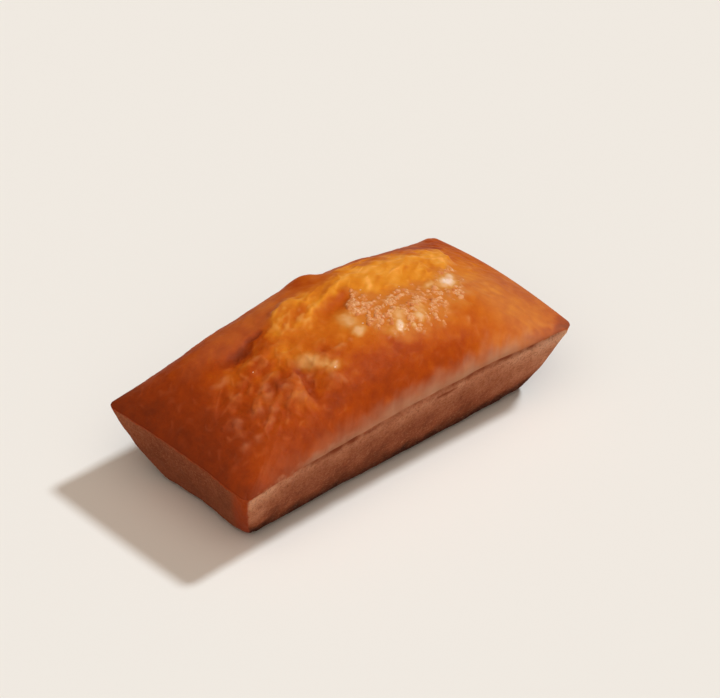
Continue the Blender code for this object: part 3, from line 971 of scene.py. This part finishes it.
crust, shader = new_material("baked butter crust")
mask = {}
for name in MASKS:
    mask[name] = add_node(crust, "ShaderNodeAttribute", {"attribute_name": name}).outputs["Fac"]
place = add_node(crust, "ShaderNodeTexCoord").outputs["Object"]
mottle = add_node(
    crust, "ShaderNodeTexNoise", {}, {"Scale": 1 / MOTTLE_SIZE, "Detail": 3}, {"Vector": place}
).outputs["Fac"]
speckle = add_node(
    crust, "ShaderNodeTexNoise", {}, {"Scale": 1 / SPECKLE_SIZE, "Detail": 2}, {"Vector": place}
).outputs["Fac"]
uneven = add_node(
    crust, "ShaderNodeMath", {"operation": "MULTIPLY_ADD"}, {1: 2 * UNEVENNESS, 2: -UNEVENNESS},
    {0: mottle}
).outputs[0]
browned_and_painted_light = add_node(
    crust, "ShaderNodeMath", {"operation": "ADD"}, {}, {0: mask["browning_and_painted_light"], 1: uneven}
).outputs[0]
# The ramp turns the painted shade and highlight carried by this number into colour as well.
skin = add_node(crust, "ShaderNodeValToRGB", {}, {}, {"Fac": browned_and_painted_light}, stops=(
    (0.00, "#f5a24a"), (0.12, "#e79332"), (0.25, "#dd821f"), (0.40, "#cd6b18"),
    (0.55, "#bd560f"), (0.68, "#aa430c"), (0.82, "#92360e"), (1.00, "#732b11"),
)).outputs["Color"]
print(len(crust.node_tree.nodes), "nodes so far")


# %% [markdown]
# Melted sugar tints the skin under the crumbs first. The crumbs are broken up by the speckle, so that
# they look like sugar and ground almond and not like paint. The clots are pale sugar, and their nearly
# white cores are painted highlight. The veil, with its painted highlights, goes over it all.

# %% Colour the sugar
SUGAR_TINT, VEIL_AND_HIGHLIGHT_TINT = 0.75, 0.88  # how much of the colour below they hide at full strength

sugar_share = add_node(
    crust, "ShaderNodeMath", {"operation": "MULTIPLY"}, {1: SUGAR_TINT}, {0: mask["sugar"]}
).outputs[0]
sugared = add_node(
    crust, "ShaderNodeMix", {"data_type": "RGBA"}, {7: light_of("#cd782f")}, {0: sugar_share, 6: skin}
).outputs[2]
broken = add_node(
    crust, "ShaderNodeMapRange", {}, {"From Min": 0.36, "From Max": 0.6, "To Min": 0.5, "To Max": 1.1},
    {"Value": speckle}
).outputs["Result"]
crumb_share = add_node(
    crust, "ShaderNodeMath", {"operation": "MULTIPLY", "use_clamp": True}, {},
    {0: mask["grains"], 1: broken}
).outputs[0]
crumb_colour = add_node(crust, "ShaderNodeValToRGB", {}, {}, {"Fac": crumb_share}, stops=(
    (0.1, "#ce7b3b"), (0.5, "#da8e53"), (1.0, "#ebab7a"),
)).outputs["Color"]
crumbed = add_node(
    crust, "ShaderNodeMix", {"data_type": "RGBA"}, {}, {0: crumb_share, 6: sugared, 7: crumb_colour}
).outputs[2]
# The nearly white top stops are painted highlight on the pale clots.
clot_and_highlight_colour = add_node(crust, "ShaderNodeValToRGB", {}, {}, {"Fac": mask["clots"]}, stops=(
    (0.1, "#cf8126"), (0.4, "#da9650"), (0.65, "#e7b07e"), (0.97, "#f4d0b6"),
)).outputs["Color"]
clot_share = add_node(crust, "ShaderNodeValToRGB", {}, {}, {"Fac": mask["clots"]}, stops=(
    (0.03, "#000000"), (0.5, "#ffffff"),
)).outputs["Color"]
clotted = add_node(
    crust, "ShaderNodeMix", {"data_type": "RGBA"}, {}, {0: clot_share, 6: crumbed, 7: clot_and_highlight_colour}
).outputs[2]
# The veil's colour also paints the highlights on raised lumps.
veil_and_highlight_share = add_node(
    crust, "ShaderNodeMath", {"operation": "MULTIPLY"}, {1: VEIL_AND_HIGHLIGHT_TINT}, {0: mask["veil_and_painted_highlight"]}
).outputs[0]
top_colour = add_node(
    crust, "ShaderNodeMix", {"data_type": "RGBA"}, {7: light_of("#bd8b6b")}, {0: veil_and_highlight_share, 6: clotted}
).outputs[2]
print(len(crust.node_tree.nodes), "nodes so far")


# %% [markdown]
# The walls run from rosy tan to nearly black at the foot, and that dark end is partly painted shade. They
# have dark pores and pale specks. The fold is darkest, because no light gets in and its edges browned
# most.

# %% Colour the walls
FOLD_TINT = 0.9

wall_tone_and_shade = add_node(
    crust, "ShaderNodeMath", {"operation": "MULTIPLY_ADD"}, {1: 0.5}, {0: uneven, 2: mask["tone_and_foot_shade"]}
).outputs[0]
# The ramp's dark end, reached at the foot, is partly painted shade.
wall_colour_with_foot_shade = add_node(crust, "ShaderNodeValToRGB", {}, {}, {"Fac": wall_tone_and_shade}, stops=(
    (0.00, "#dda684"), (0.25, "#cb8b68"), (0.42, "#b47050"), (0.58, "#9d5a3c"),
    (0.72, "#88472c"), (0.86, "#642f19"), (1.00, "#34160a"),
)).outputs["Color"]
pore_share = add_node(crust, "ShaderNodeValToRGB", {}, {}, {"Fac": speckle}, stops=(
    (0.38, "#a0a0a0"), (0.48, "#000000"),
)).outputs["Color"]
pored = add_node(
    crust, "ShaderNodeMix", {"data_type": "RGBA"}, {7: light_of("#6b3520")}, {0: pore_share, 6: wall_colour_with_foot_shade}
).outputs[2]
speck_share = add_node(crust, "ShaderNodeValToRGB", {}, {}, {"Fac": speckle}, stops=(
    (0.54, "#000000"), (0.7, "#808080"),
)).outputs["Color"]
wall_colour = add_node(
    crust, "ShaderNodeMix", {"data_type": "RGBA"}, {7: light_of("#c98f6a")}, {0: speck_share, 6: pored}
).outputs[2]
both = add_node(
    crust, "ShaderNodeMix", {"data_type": "RGBA"}, {},
    {0: mask["matte_wall"], 6: top_colour, 7: wall_colour}
).outputs[2]
fold_share = add_node(
    crust, "ShaderNodeMath", {"operation": "MULTIPLY"}, {1: FOLD_TINT}, {0: mask["fold"]}
).outputs[0]
folded = add_node(
    crust, "ShaderNodeMix", {"data_type": "RGBA"}, {7: light_of("#7a3317")}, {0: fold_share, 6: both}
).outputs[2]
crust.node_tree.links.new(folded, shader.inputs["Base Color"])
print(len(crust.node_tree.nodes), "nodes so far")


# %% [markdown]
# The top has a soft gloss and the walls have none. Only melted sugar is bright enough to catch the
# lamp, so it alone gets a thin coat. Baked egg and butter let red light furthest in, so what scatters is
# warm. Grain and pores of about half a millimetre, as bump, finish the surface.

# %% Finish the surface
ROUGH_TOP, ROUGH_WALL = 0.52, 0.9
COAT_OF_SUGAR = 0.12
CRUST_GRAIN, CRUST_GRAIN_DEPTH = 0.7 * MM, 0.05 * MM

dull = add_node(
    crust, "ShaderNodeMath", {"operation": "MAXIMUM"}, {}, {0: mask["matte_wall"], 1: mask["veil_and_painted_highlight"]}
).outputs[0]
rough = add_node(
    crust, "ShaderNodeMapRange", {}, {"To Min": ROUGH_TOP, "To Max": ROUGH_WALL}, {"Value": dull}
).outputs["Result"]
rough = add_node(crust, "ShaderNodeMath", {"operation": "ADD"}, {}, {0: rough, 1: uneven}).outputs[0]
crust.node_tree.links.new(rough, shader.inputs["Roughness"])
sugary = add_node(
    crust, "ShaderNodeMath", {"operation": "MAXIMUM"}, {}, {0: mask["grains"], 1: mask["clots"]}
).outputs[0]
coat = add_node(
    crust, "ShaderNodeMath", {"operation": "MULTIPLY"}, {1: COAT_OF_SUGAR}, {0: sugary}
).outputs[0]
crust.node_tree.links.new(coat, shader.inputs["Coat Weight"])
fine = add_node(
    crust, "ShaderNodeTexNoise", {}, {"Scale": 1 / CRUST_GRAIN, "Detail": 3}, {"Vector": place}
).outputs["Fac"]
grain = add_node(crust, "ShaderNodeMath", {"operation": "ADD"}, {}, {0: fine, 1: speckle}).outputs[0]
bump = add_node(
    crust, "ShaderNodeBump", {}, {"Strength": 1.0, "Distance": CRUST_GRAIN_DEPTH}, {"Height": grain}
).outputs["Normal"]
crust.node_tree.links.new(bump, shader.inputs["Normal"])
shader.inputs["Coat Roughness"].default_value = 0.2
shader.inputs["IOR"].default_value = 1.45
shader.inputs["Specular IOR Level"].default_value = 0.05
shader.inputs["Subsurface Weight"].default_value = 0.12
shader.inputs["Subsurface Radius"].default_value = (1.0, 0.35, 0.12)
shader.inputs["Subsurface Scale"].default_value = 1.2 * MM
print("the crust has", len(crust.node_tree.nodes), "nodes")


# %% Dress the cake
cake.data.materials.append(crust)
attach(cake, "root")
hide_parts("financier_cake")
print("the cake stands for financier_cake")


# %% [markdown]
# ## Loose grains
# On the sugary patch some crumbs of sugar and ground almond kept their shape and stand out of the crust.
# Three rough grains are modelled by hand: a ball is squashed, its vertices are pushed about and it is
# smoothed again. Because there will be many copies, each has only a few dozen faces.

# %% Model the grains
def model_grain(name, seed, proportions):
    """A rough grain about a millimetre across: a ball squashed, pushed about and smoothed."""
    bpy.ops.object.select_all(action="DESELECT")
    bpy.ops.mesh.primitive_uv_sphere_add(segments=8, ring_count=6, radius=0.5 * MM, location=(0, 0, 0))
    grain = bpy.context.object
    grain.name = name
    bpy.ops.object.mode_set(mode="EDIT")
    bpy.ops.transform.resize(value=proportions)
    bpy.ops.transform.vertex_random(offset=0.13 * MM, seed=seed)
    bpy.ops.mesh.vertices_smooth(factor=0.35)
    bpy.ops.object.mode_set(mode="OBJECT")
    grain.data.shade_smooth()
    return grain


GRAIN_SHAPES = (  # name, seed, proportions
    ("flat_grain", 3, (1.3, 1.0, 0.5)),
    ("long_grain", 5, (1.4, 0.9, 0.6)),
    ("round_grain", 8, (1.1, 1, 0.7)),
)
grain_shapes = [model_grain(*shape) for shape in GRAIN_SHAPES]
print(len(grain_shapes), "grains of", len(grain_shapes[0].data.polygons), "faces")


# %% [markdown]
# Here and there a crystal of sugar stayed whole. It is a block with flat faces and its edges and corners
# cut off, which a bevel of one segment does.

# %% Model a sugar crystal
def model_crystal(name, proportions):
    """A sugar crystal about a millimetre across: a block with its edges and corners cut off."""
    bpy.ops.object.select_all(action="DESELECT")
    bpy.ops.mesh.primitive_cube_add(size=1 * MM, location=(0, 0, 0))
    crystal = bpy.context.object
    crystal.name = name
    bpy.ops.object.mode_set(mode="EDIT")
    bpy.ops.mesh.bevel(offset=0.16 * MM, offset_type="OFFSET", segments=1, affect="EDGES")
    bpy.ops.transform.resize(value=proportions)
    bpy.ops.transform.vertex_random(offset=0.03 * MM, seed=2)
    bpy.ops.object.mode_set(mode="OBJECT")
    return crystal


crystal_shapes = [model_crystal("crystal", (1.1, 0.8, 0.7))]
print("a crystal of", len(crystal_shapes[0].data.polygons), "faces")


# %% [markdown]
# ## Spots for them
# The spots are vertices of the skin, picked at random but never two in one place. The more sugar a spot
# has, the likelier it is to be picked, and the clots stay bare. A generator with a fixed seed draws the
# same spots every time.

# %% Pick the spots
GRAIN_COUNT, GRAINS_APART = 140, 0.65
CRYSTAL_COUNT, CRYSTALS_APART = 22, 0.8
CRYSTAL_CHANCE = 0.02
SPARKLES = ((-23.0, -0.2), (-11.8, -11.2), (5.6, -10.6), (25.6, -2.0))  # crystals placed one by one


def spread(share, count, apart, seed):
    """Spots of the skin, picked by share and at least so many millimetres apart."""
    draw = np.random.default_rng(seed)
    picked = []
    for spot in draw.permutation(np.flatnonzero(draw.random(len(share)) < share)):
        if all(np.linalg.norm(final[spot] - final[other]) > apart for other in picked):
            picked.append(spot)
        if len(picked) == count:
            break
    return picked


def nearest_spot(at_x, at_y):
    """The vertex of the top that is nearest to a place in millimetres."""
    return int(np.argmin(np.where(ON_TOP, np.hypot(X - at_x, Y - at_y), np.inf)))


free_of_clots = (1 - smooth(clots / 0.4)) * ON_TOP
grain_spots = spread(zone**3 * grains * free_of_clots, GRAIN_COUNT, GRAINS_APART, 1)
crystal_spots = spread(CRYSTAL_CHANCE * zone * free_of_clots, CRYSTAL_COUNT, CRYSTALS_APART, 6)
crystal_spots += [nearest_spot(*sparkle) for sparkle in SPARKLES]
print(len(grain_spots), "grains and", len(crystal_spots), "crystals")


# %% [markdown]
# ## Copies
# Each copy stands on the skin along its normal, with its own size and turn, sunk in a little, and has its
# own mesh. It also keeps a number of its own as an attribute, from which the material makes it a little
# paler or darker than the next. Then the copies of one kind are joined into one piece.

# %% Copy and join
GRAIN_SIZES, GRAIN_SUNK = (0.7, 1.3), 0.20  # times the model, and how far its middle is under the skin
CRYSTAL_SIZES, CRYSTAL_SUNK = (0.2, 0.32), 0.15
MOST_TILT = 0.4  # radians

skin_normals = column("normal")


def join_copies(name, shapes, spots, sizes, sunk, seed):
    """Copies of the shapes standing on the spots, joined into one piece."""
    draw = np.random.default_rng(seed)
    bpy.ops.object.select_all(action="DESELECT")
    for spot in spots:
        shape = shapes[draw.integers(len(shapes))]
        size = draw.uniform(*sizes)
        normal = Vector(skin_normals[spot])
        stand = normal.to_track_quat("Z", "Y").to_matrix().to_4x4()
        turn = Matrix.Rotation(draw.uniform(0, 2 * math.pi), 4, "Z")
        tilt = Matrix.Rotation(draw.uniform(-MOST_TILT, MOST_TILT), 4, "X")
        spot_place = Matrix.Translation((Vector(final[spot]) - normal * sunk * size) * MM)
        copy = shape.copy()
        copy.data = shape.data.copy()
        copy.data.transform(spot_place @ stand @ turn @ tilt @ Matrix.Scale(size, 4))
        pale = np.full(len(copy.data.vertices), draw.uniform(0, 1), np.float32)
        copy.data.attributes.new("pale", "FLOAT", "POINT").data.foreach_set("value", pale)
        bpy.context.collection.objects.link(copy)
        copy.select_set(True)
        bpy.context.view_layer.objects.active = copy
    bpy.ops.object.join()
    joined = bpy.context.object
    joined.name = name
    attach(joined, "root")
    return joined


sugar_grains = join_copies(
    "sugar_and_almond_grains", grain_shapes, grain_spots, GRAIN_SIZES, GRAIN_SUNK, 4
)
sugar_crystals = join_copies(
    "sugar_crystals", crystal_shapes, crystal_spots, CRYSTAL_SIZES, CRYSTAL_SUNK, 7
)
for shape in grain_shapes + crystal_shapes:
    bpy.data.objects.remove(shape)
print("the grains have", len(sugar_grains.data.polygons), "faces")


# %% [markdown]
# ## Melted sugar and almond
# A crumb of sugar and ground almond is pale, slightly pink from the browned sugar round it, and a little
# glossy where the sugar melted. Ground almond is oily and lets light in, so it glows at its thin edges.

# %% Finish the grains
BLOTCH_SIZE, CHIP_SIZE, CHIP_DEPTH = 0.8 * MM, 0.25 * MM, 0.03 * MM

crumb, shader = new_material("melted sugar and ground almond")
pale = add_node(crumb, "ShaderNodeAttribute", {"attribute_name": "pale"}).outputs["Fac"]
place = add_node(crumb, "ShaderNodeTexCoord").outputs["Object"]
blotch = add_node(
    crumb, "ShaderNodeTexNoise", {}, {"Scale": 1 / BLOTCH_SIZE, "Detail": 2}, {"Vector": place}
).outputs["Fac"]
mixed = add_node(
    crumb, "ShaderNodeMath", {"operation": "MULTIPLY_ADD"}, {1: 0.5}, {0: blotch, 2: pale}
).outputs[0]
crumb_tone = add_node(crumb, "ShaderNodeValToRGB", {}, {}, {"Fac": mixed}, stops=(
    (0.2, "#ca7036"), (0.6, "#d58348"), (1.0, "#e09861"),
)).outputs["Color"]
chips = add_node(
    crumb, "ShaderNodeTexNoise", {}, {"Scale": 1 / CHIP_SIZE, "Detail": 2}, {"Vector": place}
).outputs["Fac"]
bump = add_node(
    crumb, "ShaderNodeBump", {}, {"Strength": 0.8, "Distance": CHIP_DEPTH}, {"Height": chips}
).outputs["Normal"]
crumb.node_tree.links.new(crumb_tone, shader.inputs["Base Color"])
crumb.node_tree.links.new(bump, shader.inputs["Normal"])
shader.inputs["Roughness"].default_value = 0.5
shader.inputs["IOR"].default_value = 1.5
shader.inputs["Specular IOR Level"].default_value = 0.15
shader.inputs["Subsurface Weight"].default_value = 0.2
shader.inputs["Subsurface Radius"].default_value = (1.0, 0.5, 0.25)
shader.inputs["Subsurface Scale"].default_value = 0.6 * MM
sugar_grains.data.materials.clear()
sugar_grains.data.materials.append(crumb)
print("the grains' material has", len(crumb.node_tree.nodes), "nodes")


# %% [markdown]
# ## Sugar crystals
# Pure sucrose is clear and bends light a little more than window glass does, with an IOR of 1.54. On
# brown crust a clear crystal looks honey coloured, and its flat faces flash in the lamp.

# %% Finish the crystals
sucrose, shader = new_material("clear sugar crystal")
pale = add_node(sucrose, "ShaderNodeAttribute", {"attribute_name": "pale"}).outputs["Fac"]
honey = add_node(sucrose, "ShaderNodeValToRGB", {}, {}, {"Fac": pale}, stops=(
    (0.0, "#dfa472"), (1.0, "#f2cfae"),
)).outputs["Color"]
sucrose.node_tree.links.new(honey, shader.inputs["Base Color"])
shader.inputs["Roughness"].default_value = 0.25
shader.inputs["IOR"].default_value = 1.54
shader.inputs["Subsurface Weight"].default_value = 0.3
shader.inputs["Subsurface Radius"].default_value = (1.0, 0.8, 0.6)
shader.inputs["Subsurface Scale"].default_value = 0.3 * MM
sugar_crystals.data.materials.clear()
sugar_crystals.data.materials.append(sucrose)
print("the crystals' material has", len(sucrose.node_tree.nodes), "nodes")
